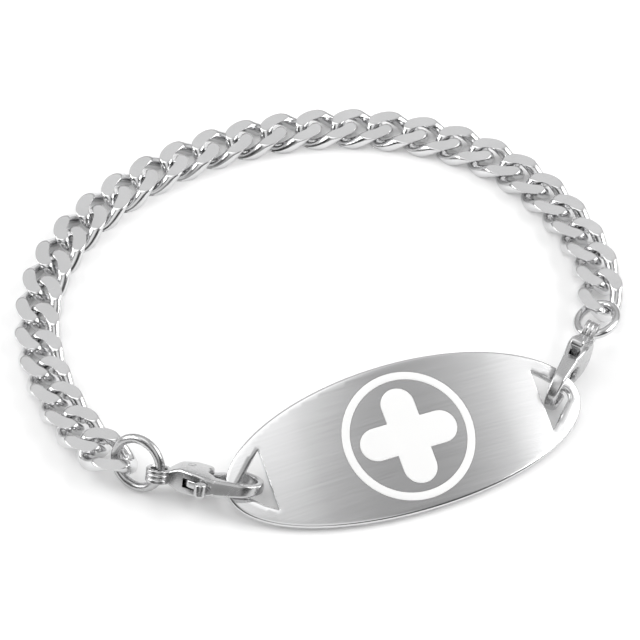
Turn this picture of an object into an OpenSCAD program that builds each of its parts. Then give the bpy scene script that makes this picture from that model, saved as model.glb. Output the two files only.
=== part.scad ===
// Medical alert bracelet: a curved oval plate held at both ends by lobster
// clasps on a flat curb chain. It lies on a table as a closed loop, face up.
// Millimetres, +Z up, the table at z = 0.

/* [Plate] */
// Length of the oval plate, measured along its curve
plate_len = 46; // [42:0.5:50]
// Width of the oval plate
plate_w = 19; // [17:0.5:21]
// Thickness of the plate
plate_t = 0.95; // [0.8:0.05:1.4]
// Radius that the plate is curved to, on its face
plate_r = 115; // [80:1:150]
// Width of the rim left between a slot and the plate's end
rim_w = 1.5; // [1.4:0.05:2]
// Length of a slot along the plate
slot_len = 3.7; // [3.6:0.05:4.2]
// Width of a slot's straight side
slot_w = 8; // [7:0.1:9]

/* [Enamel] */
// Outer diameter of the enamel ring
emblem_d = 16.4; // [14:0.1:16.8]
// Width of the enamel ring
emblem_band = 1; // [0.6:0.05:1.4]
// Length of the enamel cross from tip to tip
cross_len = 12.4; // [11:0.2:13.2]
// Width of an arm of the enamel cross
cross_w = 4.2; // [2.4:0.1:4.6]
// Depth of the enamel's recess
enamel_t = 0.35; // [0.2:0.05:0.5]

/* [Chain] */
// Number of links
link_count = 30; // [28:1:31]
// Width of the chain
link_w = 5.9; // [5.6:0.1:6.3]
// Thickness of the chain from flat to flat
link_t = 2.1; // [1.9:0.05:2.4]
// Diameter of the wire of a link
link_wire = 1.7; // [1.5:0.05:1.75]
// Diameter of the wire of the plain end link
end_wire = 1; // [0.9:0.05:1.15]

/* [Jump ring] */
// Outer diameter of the jump ring
ring_d = 7.35; // [7.3:0.05:7.5]
// Diameter of the jump ring's wire
ring_wire = 1.05; // [0.9:0.05:1.1]

/* [Clasp] */
// Length of a clasp from its eye to the tip of its hook
clasp_len = 14.3; // [14.1:0.1:14.6]
// Outer width of the hook
hook_w = 5.8; // [5.6:0.1:6]
// Width of the hook's band, seen from above
hook_band = 0.85; // [0.8:0.05:0.95]
// Height of the hook's band where it starts
hook_h = 2.1; // [2:0.1:2.4]
// Height of the hook's band at its tip
tip_h = 1.3; // [1.2:0.1:1.6]
// Thickness of the clasp's body over both cheeks
clasp_t = 3.1; // [2.7:0.1:3.2]
// Outer diameter of the clasp's eye
eye_d = 3.1; // [2.9:0.05:3.3]
// Diameter of the hole in the eye
eye_hole = 2; // [1.9:0.05:2.1]
// Height of the eye
eye_h = 1.7; // [1.5:0.1:1.9]
// Thickness of the lever
lever_t = 0.95; // [0.8:0.05:1.1]
// Diameter of the lever's pin
pin_d = 0.9; // [0.7:0.05:1]

/* [Hidden] */
// Gap between a moving or loose piece and its neighbour
gap = 0.1;
// Gap round the enamel in its recess
enamel_gap = 0.04;
// Height of the enamel above the plate's face
enamel_proud = 0.04;
// Sides of a link's wire and rings along a link
WIRE_SIDES = 6;
LINK_RINGS = 16;

// The middle of the bracelet's footprint, which is moved to the origin
middle = [-0.06, 0.97, 0];
// Where the plate lies: the middle of its face, its turn on the table, its
// slope along its length and its lean towards the near edge
plate_at = [10.73, -22.94, 4.65];
plate_turn = 20.9;
plate_slope = 0.3;
plate_lean = 22.3;

// Where the clasps lie: the middle of the eye, and how the clasp is turned,
// sloped and rolled about its own length
left_eye = [-19.39, -27.81, 3.21];
left_turn = [-32.5, 3.7, -6];
right_eye = [33.64, -5.11, 3.2];
right_turn = [-96.8, 1, -116.5];

// Where the jump ring lies: its middle, and its lean and turn
ring_at = [-21.9, -26.25, 3.5];
ring_turn = [67, 0, -31];

// The chain's route, chosen by hand: the control points of a smooth curve
route = [
    [-13.5, -26.8, 3.3],
    [-26.2, -27.45, 2.5],
    [-36.5, -7.5, 1.06],
    [-35.6, 10, 1.06],
    [-24.3, 24.5, 1.06],
    [-8.5, 32.8, 1.06],
    [8.5, 34.2, 1.06],
    [24.5, 28.2, 1.06],
    [34.3, 14.5, 1.06],
    [37.4, -1.6, 2.3],
    [23.6, -20.7, 4],
];
// Where the plain end link hangs in the right clasp's eye, and its roll, slope and turn
end_at = [34.74, -2.39, 2.72];
end_turn = [13.1, -10.1, -108.4];

// Points that the route is measured by, in each of its spans
ROUTE_STEPS = 24;
ROUTE_SPANS = len(route) - 3;

// A point and a direction on the route, u counting its spans
function route_at(u) =
    let (i = min(floor(u), ROUTE_SPANS - 1), s = u - i)
    ((1 - s) ^ 3 * route[i] + (3 * s ^ 3 - 6 * s ^ 2 + 4) * route[i + 1]
    + (-3 * s ^ 3 + 3 * s ^ 2 + 3 * s + 1) * route[i + 2] + s ^ 3 * route[i + 3]) / 6;
function route_way(u) =
    let (i = min(floor(u), ROUTE_SPANS - 1), s = u - i)
    (-(1 - s) ^ 2 * route[i] + (3 * s ^ 2 - 4 * s) * route[i + 1]
    + (-3 * s ^ 2 + 2 * s + 1) * route[i + 2] + s ^ 2 * route[i + 3]) / 2;

// The length along the route at each measured point, as pairs of length and u
function running(v, i = 0, sum = 0) =
    i == len(v) ? [] : concat([sum + v[i]], running(v, i + 1, sum + v[i]));
route_steps = [
    for (k = [1 : ROUTE_SPANS * ROUTE_STEPS])
        norm(route_at(k / ROUTE_STEPS) - route_at((k - 1) / ROUTE_STEPS))
];
route_sums = concat([0], running(route_steps));
route_table = [for (k = [0 : len(route_sums) - 1]) [route_sums[k], k / ROUTE_STEPS]];
link_pitch = route_sums[len(route_sums) - 1] / (link_count - 1);

// A curb link is the curve x = a cos u, y = b sin u, z = -c sin 2u, with
// round wire cut off flat above and below
link_a = (link_pitch + link_wire + 3 * gap) / 2;
link_b = (link_w - link_wire) / 2;
link_c = 0.735 * link_wire;
end_a = (link_pitch + end_wire + 3 * gap) / 2 + 0.3;
end_b = (link_w - end_wire) / 2;

// Clasp, seen from above: x from the eye to the hook's tip, the gate at +y
hook_r = hook_w / 2;
hook_x = clasp_len - eye_d / 2 - hook_r;
// Angle round the hook at which its tip ends
TIP_ANGLE = 115;
// The lever's pivot and its travel
pivot = [3.9, 0.6];
lever_swing = 9;
slot_t = lever_t + 2 * gap;
bore_d = pin_d + gap;
// The cheeks end here, where the hook's opening starts
cheek_x = 6;
cheek_y = 2.3;
neck_w = 1.8;
knob_d = 1.5;
knob_h = 1.7;
knob_at = [5.4, -hook_r - knob_d / 2 - 0.3];

function link_name(i) = str("link_", i < 10 ? "0" : "", i);
CLASP_NODES = [
    "clasp_left_body", "clasp_left_lever", "clasp_left_pin",
    "clasp_right_body", "clasp_right_lever", "clasp_right_pin",
];

// Points along an arc and along a curve with two handles
function arc(c, r, a0, a1, n = 16) =
    [for (k = [0 : n]) let (a = a0 + (a1 - a0) * k / n) c + r * [cos(a), sin(a)]];
function bend(p0, p1, p2, p3, n = 10) =
    [for (k = [0 : n]) let (s = k / n)
        (1 - s) ^ 3 * p0 + 3 * s * (1 - s) ^ 2 * p1 + 3 * s ^ 2 * (1 - s) * p2 + s ^ 3 * p3];

// Slot of the plate, seen from above: a triangle with a rounded outer tip
module slot_outline() {
    tip_r = 1.1;
    end_x = plate_len / 2 - rim_w;
    straight_x = end_x - slot_len;
    polygon(concat(
        [[straight_x, -slot_w / 2]],
        arc([end_x - tip_r, 0], tip_r, -62, 62),
        [[straight_x, slot_w / 2]]
    ));
}

// Shell that follows the plate's curve, from one depth below its face to another
module curved_slab(top, bottom) {
    translate([0, 0, -plate_r]) rotate([90, 0, 0])
        difference() {
            cylinder(r = plate_r + top, h = plate_w + 2, center = true, $fn = 360);
            cylinder(r = plate_r - bottom, h = plate_w + 4, center = true, $fn = 360);
        }
}

module place_plate() {
    translate(plate_at - middle) rotate([0, 0, plate_turn]) rotate([plate_lean, plate_slope, 0])
        children();
}

// The enamel's outline: a ring with an equal-armed cross in it
module emblem_outline(grow = 0) {
    difference() {
        circle(d = emblem_d + 2 * grow, $fn = 96);
        circle(d = emblem_d - 2 * emblem_band - 2 * grow, $fn = 96);
    }
    for (turn = [0, 90])
        rotate(turn) union() {
            square([cross_len - cross_w, cross_w + 2 * grow], center = true);
            for (side = [-1, 1])
                translate([side * (cross_len - cross_w) / 2, 0])
                    circle(d = cross_w + 2 * grow, $fn = 48);
        }
}

module id_plate() {
    color("silver") place_plate() difference() {
        intersection() {
            curved_slab(0, plate_t);
            translate([0, 0, -plate_len / 2]) linear_extrude(plate_len)
                polygon([for (k = [0 : 95]) let (a = k * 360 / 96)
                    [plate_len / 2 * cos(a), plate_w / 2 * sin(a)]]);
        }
        for (turn = [0, 180])
            rotate([0, 0, turn]) translate([0, 0, -plate_len / 2])
                linear_extrude(plate_len) slot_outline();
        intersection() {
            curved_slab(1, enamel_t);
            translate([0, 0, -2]) linear_extrude(4) emblem_outline(enamel_gap);
        }
    }
}

module enamel_emblem() {
    color("white") place_plate() intersection() {
        curved_slab(enamel_proud, enamel_t - enamel_gap);
        translate([0, 0, -2]) linear_extrude(4) emblem_outline();
    }
}

// One link as a closed mesh: rings of points round a wire that follows the curve
module link_mesh(a, b, c, wire) {
    points = [
        for (k = [0 : LINK_RINGS - 1]) let (
            u = 360 * k / LINK_RINGS,
            mid = [a * cos(u), b * sin(u), -c * sin(2 * u)],
            way = [-a * sin(u), b * cos(u), -2 * c * cos(2 * u)],
            side = [way.y, -way.x, 0] / norm([way.y, -way.x]),
            over = cross(side, way) / norm(way),
            up = over * sign(over.z),
            high = (link_t / 2 - mid.z) / up.z,
            low = (-link_t / 2 - mid.z) / up.z
        )
        for (j = [0 : WIRE_SIDES - 1]) let (
            turn = 360 * (j + 0.5) / WIRE_SIDES,
            rise = max(low, min(high, wire / 2 * sin(turn)))
        )
        mid + wire / 2 * cos(turn) * side + rise * up
    ];
    faces = [
        for (k = [0 : LINK_RINGS - 1], j = [0 : WIRE_SIDES - 1]) let (
            k2 = (k + 1) % LINK_RINGS,
            j2 = (j + 1) % WIRE_SIDES,
            p = k * WIRE_SIDES + j,
            q = k * WIRE_SIDES + j2,
            r = k2 * WIRE_SIDES + j2,
            s = k2 * WIRE_SIDES + j
        )
        each [[p, q, r], [p, r, s]]
    ];
    polyhedron(points, faces);
}

// The links follow the route, and the last is a plain oval placed by itself
module link(i) {
    u = lookup((i - 1) * link_pitch, route_table);
    way = route_way(u);
    color("gainsboro")
        if (i < link_count)
            translate(route_at(u) - middle)
                rotate([0, -atan2(way.z, norm([way.x, way.y])), atan2(way.y, way.x)])
                link_mesh(link_a, link_b, link_c, link_wire);
        else
            translate(end_at - middle) rotate([0, 0, end_turn.z]) rotate([0, end_turn.y, 0])
                rotate([end_turn.x, 0, 0]) link_mesh(end_a, end_b, 0, end_wire);
}

module jump_ring() {
    color("silver") translate(ring_at - middle) rotate([0, 0, ring_turn.z]) rotate([ring_turn.x, 0, 0])
        rotate_extrude($fn = 64) translate([(ring_d - ring_wire) / 2, 0]) circle(d = ring_wire, $fn = 32);
}

// The clasp's cheeks and spine, seen from above, without the hook
module cheek_outline() {
    polygon(concat(
        bend([1.2, -neck_w / 2], [2.6, -1.2], [4, -hook_r], [cheek_x, -hook_r]),
        [[hook_x, -hook_r], [hook_x, -hook_r + hook_band]],
        bend([hook_x - 0.6, -hook_r + hook_band], [8.6, -hook_r + hook_band],
            [cheek_x + 0.2, -1.4], [cheek_x, -0.1]),
        bend([cheek_x + 0.1, 0.7], [cheek_x + 0.6, 1.3], [cheek_x + 0.9, cheek_y], [cheek_x, cheek_y + 0.05]),
        bend([cheek_x - 0.6, cheek_y + 0.1], [4.6, cheek_y + 0.2], [2.6, cheek_y - 0.1],
            [1.2, neck_w / 2])
    ));
}

// The hook's band, from the spine round to its tip
module hook_outline() {
    polygon(concat(
        [[cheek_x, -hook_r]],
        arc([hook_x, 0], hook_r, -90, TIP_ANGLE, 32),
        arc([hook_x, 0], hook_r - hook_band, TIP_ANGLE, -90, 32),
        [[cheek_x, -hook_r + hook_band]]
    ));
}

// The slot that the lever moves in, open at the spine and at the gate
module lever_slot_outline() {
    polygon([
        [2.7, -hook_r - 1], [6.6, -hook_r - 1], [6.6, -hook_r + hook_band], [8.4, -1.1],
        [8.4, cheek_y - 0.4], [5.4, cheek_y - 0.4], [3.5, 1.85], [2.7, 1.2],
    ]);
}

// The clasp seen from the side: thin at the neck, thickest at the cheeks, then
// a step down to the hook, which thins to its end
module side_outline() {
    top = [
        [1.2, eye_h / 2], [2.6, clasp_t / 2], [4.4, clasp_t / 2], [cheek_x + 0.7, hook_h / 2 + 0.15],
        [cheek_x + 0.7, hook_h / 2], [hook_x, hook_h / 2 - 0.2], [hook_x + hook_r, tip_h / 2],
    ];
    polygon(concat(top, [for (k = [len(top) - 1 : -1 : 0]) [top[k].x, -top[k].y]]));
}

module clasp_body() {
    difference() {
        union() {
            intersection() {
                linear_extrude(clasp_t + 1, center = true) union() {
                    cheek_outline();
                    hook_outline();
                }
                rotate([90, 0, 0]) linear_extrude(2 * hook_w, center = true) side_outline();
            }
            eye_outside();
        }
        linear_extrude(slot_t, center = true) lever_slot_outline();
        translate([pivot.x, pivot.y, 0]) cylinder(d = bore_d, h = clasp_t + 1, center = true, $fn = 32);
        cylinder(d = eye_hole, h = clasp_t + 1, center = true, $fn = 32);
    }
}

// The eye with three ridges round it
module eye_outside() {
    ridge = eye_h / 3;
    rotate_extrude($fn = 48) union() {
        translate([0, -eye_h / 2]) square([eye_d / 2 - 0.15, eye_h]);
        for (k = [-1, 0, 1])
            translate([0, k * ridge - ridge * 0.36]) square([eye_d / 2, ridge * 0.72]);
    }
    translate([1.2, 0, 0]) cube([1.2, neck_w - 0.4, eye_h], center = true);
}

module clasp_lever() {
    tip = [hook_x, 0] + hook_r * [cos(TIP_ANGLE), sin(TIP_ANGLE)];
    foot = [hook_x, 0] + (hook_r - hook_band) * [cos(TIP_ANGLE), sin(TIP_ANGLE)];
    difference() {
        union() {
            linear_extrude(lever_t, center = true) union() {
                translate(pivot) circle(r = 1, $fn = 32);
                polygon([
                    pivot + [-0.2, 0.97], [6, cheek_y - 0.55], [7.6, cheek_y + 0.15], tip + [-gap - 0.05, -0.05],
                    foot + [-gap - 0.05, 0], [7.4, 1.1], pivot + [0.9, -0.5],
                ]);
                polygon([
                    pivot + [-0.9, -0.4], pivot + [0.9, -0.4], knob_at + [0.65, 0.7], knob_at + [0.5, 0],
                    knob_at + [-0.5, 0], knob_at + [-0.75, 0.7],
                ]);
            }
            translate([knob_at.x, knob_at.y, 0]) cylinder(d = knob_d, h = knob_h, center = true, $fn = 32);
        }
        translate([pivot.x, pivot.y, 0]) cylinder(d = bore_d, h = lever_t + 1, center = true, $fn = 32);
    }
}

module clasp_pin() {
    translate([pivot.x, pivot.y, 0]) cylinder(d = pin_d, h = clasp_t, center = true, $fn = 32);
}

module place_clasp(eye, turn) {
    translate(eye - middle) rotate([0, 0, turn.z]) rotate([0, turn.y, 0]) rotate([turn.x, 0, 0]) children();
}

module clasp_left_body() { color("silver") place_clasp(left_eye, left_turn) clasp_body(); }
module clasp_left_lever() { color("gainsboro") place_clasp(left_eye, left_turn) clasp_lever(); }
module clasp_left_pin() { color("dimgray") place_clasp(left_eye, left_turn) clasp_pin(); }
module clasp_right_body() { color("silver") place_clasp(right_eye, right_turn) clasp_body(); }
module clasp_right_lever() { color("gainsboro") place_clasp(right_eye, right_turn) clasp_lever(); }
module clasp_right_pin() { color("dimgray") place_clasp(right_eye, right_turn) clasp_pin(); }

id_plate();
enamel_emblem();
jump_ring();
clasp_left_body();
clasp_left_lever();
clasp_left_pin();
clasp_right_body();
clasp_right_lever();
clasp_right_pin();
for (i = [1 : link_count])
    link(i);
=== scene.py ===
"""Looks of the medical alert bracelet: steel plate, curb chain, clasps and enamel, with its stage.

The file is laid out as an add-on. It runs as a script: main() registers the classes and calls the
operators in order. All lengths are metres, in the frame of the solids.
"""

import math

import bpy
import numpy as np
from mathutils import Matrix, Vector
from mathutils.geometry import delaunay_2d_cdt


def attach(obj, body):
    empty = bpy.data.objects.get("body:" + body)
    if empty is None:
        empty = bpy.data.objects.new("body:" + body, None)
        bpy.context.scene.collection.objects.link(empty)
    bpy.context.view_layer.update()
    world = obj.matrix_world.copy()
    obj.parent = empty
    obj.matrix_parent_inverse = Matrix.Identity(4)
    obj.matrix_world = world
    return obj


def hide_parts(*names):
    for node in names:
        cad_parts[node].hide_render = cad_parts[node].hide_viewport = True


bl_info = {
    "name": "Medical alert bracelet",
    "version": (1, 0, 0),
    "blender": (4, 5, 0),
    "location": "View3D > Sidebar > Bracelet",
    "description": "Builds the bracelet's plate, enamel, chain, ring and clasps, and a plain stage",
    "category": "Object",
}

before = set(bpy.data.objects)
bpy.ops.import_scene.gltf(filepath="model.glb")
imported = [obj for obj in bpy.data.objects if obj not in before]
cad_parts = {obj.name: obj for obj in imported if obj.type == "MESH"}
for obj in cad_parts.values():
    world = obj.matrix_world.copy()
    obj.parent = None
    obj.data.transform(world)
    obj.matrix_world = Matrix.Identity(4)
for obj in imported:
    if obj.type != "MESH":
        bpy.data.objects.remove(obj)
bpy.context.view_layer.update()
BODY = "bracelet"
MM = 0.001

# Middle of the bracelet's footprint, which the solids have moved to the origin
MIDDLE = np.array([-0.00006, 0.00097, 0.0])

# Where the pieces lie, before that move: a place, then roll, slope and turn in degrees
PLATE_POSE = ((0.01073, -0.02294, 0.00465), (22.3, 0.3, 20.9))
CLASP_POSES = {
    "left": ((-0.01939, -0.02781, 0.00321), (-32.5, 3.7, -6.0)),
    "right": ((0.03364, -0.00511, 0.0032), (-96.8, 1.0, -116.5)),
}
RING_POSE = ((-0.0219, -0.02625, 0.0035), (67.0, 0.0, -31.0))
END_LINK_POSE = ((0.03474, -0.00239, 0.00272), (13.1, -10.1, -108.4))

# The chain's route: the control points of a smooth curve
ROUTE = np.array([
    (-0.01350, -0.02680, 0.00330),
    (-0.02620, -0.02745, 0.00250),
    (-0.03650, -0.00750, 0.00106),
    (-0.03560, 0.01000, 0.00106),
    (-0.02430, 0.02450, 0.00106),
    (-0.00850, 0.03280, 0.00106),
    (0.00850, 0.03420, 0.00106),
    (0.02450, 0.02820, 0.00106),
    (0.03430, 0.01450, 0.00106),
    (0.03740, -0.00160, 0.00230),
    (0.02360, -0.02070, 0.00400),
])
LINK_COUNT = 30

# A link's middle line rises and falls by this much of the wire's diameter
LINK_TWIST = 0.735
# Extra length at each end of the plain end link, which holds the clasp's eye
END_LINK_EXTRA = 0.3 * MM
# How much fuller the round wire of the ring and the end link is than in the solids
FULLER = 0.12 * MM

# The round outer end of a slot: its radius, and the degrees it turns through each way
SLOT_TIP = 1.1 * MM
SLOT_SWEEP = 62
# Where the crown's rise starts to fade, and over what length
CROWN_FADE_FROM = 12 * MM
CROWN_FADE_OVER = 6 * MM
# Where the satin face gives way to the polished bars past the slots' straight sides
SATIN_END = 18.0 * MM
BAR_START = 18.9 * MM

# Fixed parts of a clasp: the lever's pivot, the degrees round the hook where its band ends, the
# corner of the cheek, the start and width of the neck, the thumb knob's place, size and distance
# from the spine, and the play round a part
PIVOT = np.array([3.9, 0.6]) * MM
TIP_ANGLE = 115
CHEEK_X = 6.0 * MM
CHEEK_Y = 2.3 * MM
NECK_START = 1.22 * MM
NECK_WIDTH = 1.8 * MM
KNOB_X = 5.4 * MM
KNOB_DIAMETER = 1.5 * MM
KNOB_HEIGHT = 1.7 * MM
KNOB_STAND = 0.3 * MM
PLAY = 0.1 * MM

# Steps between the points along each kind of outline
PLATE_STEP = 0.25 * MM
SLOT_STEP = 0.2 * MM
ENAMEL_STEP = 0.15 * MM
CLASP_STEP = 0.12 * MM
LEVER_STEP = 0.09 * MM

# Finishes: the painted shade that darkens the ring's and the clasps' steel below its colour, for the
# shaded floor that they mirror, and each roughness
RING_PAINTED_SHADE = 0.74
CLASP_PAINTED_SHADE = 0.8
CHAIN_ROUGHNESS = 0.16
FITTING_ROUGHNESS = 0.24
EDGE_ROUGHNESS = 0.16
BUMP_DEPTH = 0.02 * MM

# The stage: the table, the strip lamps at both sides and the camera, angles in degrees
TABLE_HALF = 1.6
STRIP_HEIGHTS = (20, 32, 44)
STRIP_DISTANCE = 0.6
STRIP_Y = 0.05
STRIP_SIZE = (0.5, 0.06)
STRIP_POWER = 0.6
CAMERA_HEIGHT = 48
CAMERA_DISTANCE = 0.4
CAMERA_LENS = 177.75
CAMERA_SENSOR = 36.0


# Sizes and colours that a user would change

def length_property(name, description, default):
    """A length in metres, shown in the scene's units."""
    return bpy.props.FloatProperty(name=name, description=description, default=default, min=0.0,
                                   precision=5, unit="LENGTH")


def colour_property(name, description, default):
    """A colour in linear values."""
    return bpy.props.FloatVectorProperty(name=name, description=description, default=default,
                                         size=3, min=0.0, max=1.0, subtype="COLOR")


class BRACELET_PG_plate(bpy.types.PropertyGroup):
    """Sizes and finish of the oval plate."""
    length: length_property("Length", "Length of the oval plate", 0.046)
    width: length_property("Width", "Width of the oval plate", 0.019)
    thickness: length_property("Thickness", "Thickness of the plate", 0.00095)
    curve_radius: length_property("Curve radius", "Radius that the plate is curved to", 0.115)
    crown_radius: length_property("Crown radius", "Radius of the faint crown across the plate", 0.3)
    crown_rise: length_property("Crown rise", "Rise of the crown's middle line", 0.00006)
    rim_width: length_property("Rim width", "Rim left between a slot and the end", 0.0015)
    slot_length: length_property("Slot length", "Length of a slot along the plate", 0.0037)
    slot_width: length_property("Slot width", "Width of a slot's straight side", 0.008)
    edge_round: length_property("Edge rounding", "Radius of the polished edge", 0.0004)
    slot_round: length_property("Slot edge rounding", "Radius of a slot's straight edge", 0.00015)
    colour: colour_property("Steel colour", "Colour of the satin steel", (0.70, 0.70, 0.705))


class BRACELET_PG_enamel(bpy.types.PropertyGroup):
    """Sizes and finish of the enamel ring and cross."""
    diameter: length_property("Ring diameter", "Outer diameter of the enamel ring", 0.0164)
    band: length_property("Ring width", "Width of the enamel ring", 0.001)
    cross_length: length_property("Cross length", "Length of the cross from tip to tip", 0.0124)
    cross_width: length_property("Arm width", "Width of an arm of the cross", 0.0042)
    depth: length_property("Depth", "Depth of the enamel's recess", 0.00035)
    gap: length_property("Gap", "Gap round the enamel", 0.00004)
    proud: length_property("Stand", "Height of the enamel above the plate", 0.00004)
    colour: colour_property("Enamel colour", "Colour of the enamel", (0.96, 0.96, 0.955))


class BRACELET_PG_chain(bpy.types.PropertyGroup):
    """Sizes and finish of the links and the jump ring."""
    width: length_property("Width", "Width of the chain", 0.0059)
    thickness: length_property("Thickness", "Thickness from flat to flat", 0.0021)
    wire: length_property("Wire", "Diameter of a link's wire", 0.0017)
    end_wire: length_property("End wire", "Diameter of the plain end link's wire", 0.001)
    spare: length_property("Play", "Play between two links", 0.0001)
    ring_diameter: length_property("Ring diameter", "Outer diameter of the jump ring", 0.00735)
    ring_wire: length_property("Ring wire", "Diameter of the jump ring's wire", 0.00105)
    colour: colour_property("Steel colour", "Colour of the polished steel", (0.72, 0.72, 0.725))


class BRACELET_PG_clasp(bpy.types.PropertyGroup):
    """Sizes and finish of a lobster clasp."""
    length: length_property("Length", "Length from the eye to the hook's tip", 0.0143)
    hook_width: length_property("Hook width", "Outer width of the hook", 0.0058)
    hook_band: length_property("Hook band", "Width of the hook's band from above", 0.00085)
    hook_height: length_property("Hook height", "Height of the band where it starts", 0.0021)
    tip_height: length_property("Tip height", "Height of the band at its tip", 0.0013)
    thickness: length_property("Thickness", "Thickness over both cheeks", 0.0031)
    eye_diameter: length_property("Eye diameter", "Outer diameter of the eye", 0.0031)
    eye_hole: length_property("Eye hole", "Diameter of the hole in the eye", 0.002)
    eye_height: length_property("Eye height", "Height of the eye", 0.0017)
    lever: length_property("Lever thickness", "Thickness of the lever", 0.00095)
    pin: length_property("Pin diameter", "Diameter of the lever's pin", 0.0009)
    colour: colour_property("Steel colour", "Colour of the polished steel", (0.70, 0.70, 0.705))


class BRACELET_PG_stage(bpy.types.PropertyGroup):
    """Floor and light."""
    floor: colour_property("Floor colour", "Colour of the table", (0.96, 0.96, 0.96))
    sky: bpy.props.FloatProperty(name="Surroundings", description="Strength of the surroundings",
                                 default=1.0, min=0.0)


# Surfaces worked out with numpy

def turning(angles):
    """Rotation matrix that rolls about x, then slopes about y, then turns about z, in degrees."""
    x, y, z = np.radians(angles)
    roll = np.array([[1, 0, 0], [0, np.cos(x), -np.sin(x)], [0, np.sin(x), np.cos(x)]])
    slope = np.array([[np.cos(y), 0, np.sin(y)], [0, 1, 0], [-np.sin(y), 0, np.cos(y)]])
    turn = np.array([[np.cos(z), -np.sin(z), 0], [np.sin(z), np.cos(z), 0], [0, 0, 1]])
    return turn @ slope @ roll


def placed(shape, pose):
    """A shape, which is an array of points and a list of faces, turned and moved to its pose."""
    points, faces = shape
    at, angles = pose
    return points @ turning(angles).T + np.array(at) - MIDDLE, faces


def new_piece(name, shape, material, sharp_angle=None):
    """Mesh object at the origin from a shape, smooth shaded."""
    points, faces = shape
    mesh = bpy.data.meshes.new(name)
    mesh.from_pydata(points.tolist(), [], [list(face) for face in faces])
    mesh.validate()
    mesh.shade_smooth()
    if sharp_angle is not None:
        mesh.set_sharp_from_angle(angle=math.radians(sharp_angle))
    mesh.materials.append(material)
    piece = bpy.data.objects.new(name, mesh)
    bpy.context.scene.collection.objects.link(piece)
    return piece


def joined(shapes):
    """One shape from several."""
    points, faces, start = [], [], 0
    for some_points, some_faces in shapes:
        points.append(some_points)
        faces += [tuple(int(i) + start for i in face) for face in some_faces]
        start += len(some_points)
    return np.vstack(points), faces


def closed_tube(rings):
    """Shape of rings of points, each joined to the next and the last to the first."""
    count, sides = rings.shape[:2]
    index = np.arange(count * sides).reshape(count, sides)
    ahead = np.roll(index, -1, 0)
    faces = np.stack([index, ahead, np.roll(ahead, -1, 1), np.roll(index, -1, 1)], 2)
    return rings.reshape(-1, 3), faces.reshape(-1, 4)


def round_axis(profile, sides):
    """A profile of radius and height, set at even angles round the z axis."""
    angle = np.linspace(0, 2 * np.pi, sides, endpoint=False)[:, None]
    return np.stack([profile[:, 0] * np.cos(angle), profile[:, 0] * np.sin(angle),
                     profile[:, 1] + 0 * angle], 2)


def turned_solid(profile, sides):
    """Surface of an open profile from the axis below to the axis above, turned round z."""
    rings = round_axis(profile[1:-1], sides)
    count = len(profile) - 2
    index = np.arange(sides * count).reshape(sides, count)
    ahead = np.roll(index, -1, 0)
    quads = np.stack([index[:, :-1], ahead[:, :-1], ahead[:, 1:], index[:, 1:]], 2).reshape(-1, 4)
    foot, top = sides * count, sides * count + 1
    faces = quads.tolist()
    faces += [[foot, b, a] for a, b in zip(index[:, 0], ahead[:, 0])]
    faces += [[top, a, b] for a, b in zip(index[:, -1], ahead[:, -1])]
    ends = np.array([[0, 0, profile[0, 1]], [0, 0, profile[-1, 1]]])
    return np.vstack([rings.reshape(-1, 3), ends]), faces


def soft_min(a, b, blend):
    """The smaller of two values, with the corner between them rounded over a width of blend."""
    mix = np.clip(0.5 + 0.5 * (b - a) / blend, 0, 1)
    return b + (a - b) * mix - blend * mix * (1 - mix)


# Flat pieces: outlines, and solids with rounded edges

def mm(x, y):
    """A point given in millimetres."""
    return np.array([x, y]) * MM


def arc(centre, radius, start, end, count):
    """Points along an arc, angles in degrees."""
    angle = np.radians(np.linspace(start, end, count))[:, None]
    return np.array(centre) + radius * np.hstack([np.cos(angle), np.sin(angle)])


def bend(p0, p1, p2, p3, count):
    """Points along a curve from p0 to p3 with the handles p1 and p2."""
    s = np.linspace(0, 1, count)[:, None]
    p0, p1, p2, p3 = (np.array(p, float) for p in (p0, p1, p2, p3))
    return (1 - s) ** 3 * p0 + 3 * s * (1 - s) ** 2 * p1 + 3 * s ** 2 * (1 - s) * p2 + s ** 3 * p3


def evenly(loop, step):
    """A closed loop sampled again at even steps along its length."""
    ends = np.vstack([loop, loop[:1]])
    sums = np.concatenate([[0], np.cumsum(np.linalg.norm(np.diff(ends, axis=0), axis=1))])
    count = max(8, int(round(sums[-1] / step)))
    at = np.linspace(0, sums[-1], count, endpoint=False)
    return np.stack([np.interp(at, sums, ends[:, k]) for k in (0, 1)], 1)


def inward(loop):
    """Unit vectors across a loop, to the left of its way: into the solid for an outline that
    runs anticlockwise, and away from the hole for one that runs clockwise."""
    way = np.roll(loop, -1, 0) - np.roll(loop, 1, 0)
    way /= np.linalg.norm(way, axis=1)[:, None]
    return np.stack([-way[:, 1], way[:, 0]], 1)


def signed_area(loop):
    """Area inside a loop, positive when it runs anticlockwise."""
    ahead = np.roll(loop, -1, 0)
    return 0.5 * np.sum(loop[:, 0] * ahead[:, 1] - ahead[:, 0] * loop[:, 1])


def is_inside(points, loop):
    """Which points lie inside a loop, by how often a ray from each crosses it."""
    ahead = np.roll(loop, -1, 0)
    x, y = points[:, 0][:, None], points[:, 1][:, None]
    crosses = (loop[:, 1] > y) != (ahead[:, 1] > y)
    rise = np.where(ahead[:, 1] == loop[:, 1], 1e-12, ahead[:, 1] - loop[:, 1])
    hit = (ahead[:, 0] - loop[:, 0]) * (y - loop[:, 1]) / rise + loop[:, 0]
    return (np.sum(crosses & (x < hit), axis=1) % 2).astype(bool)


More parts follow.
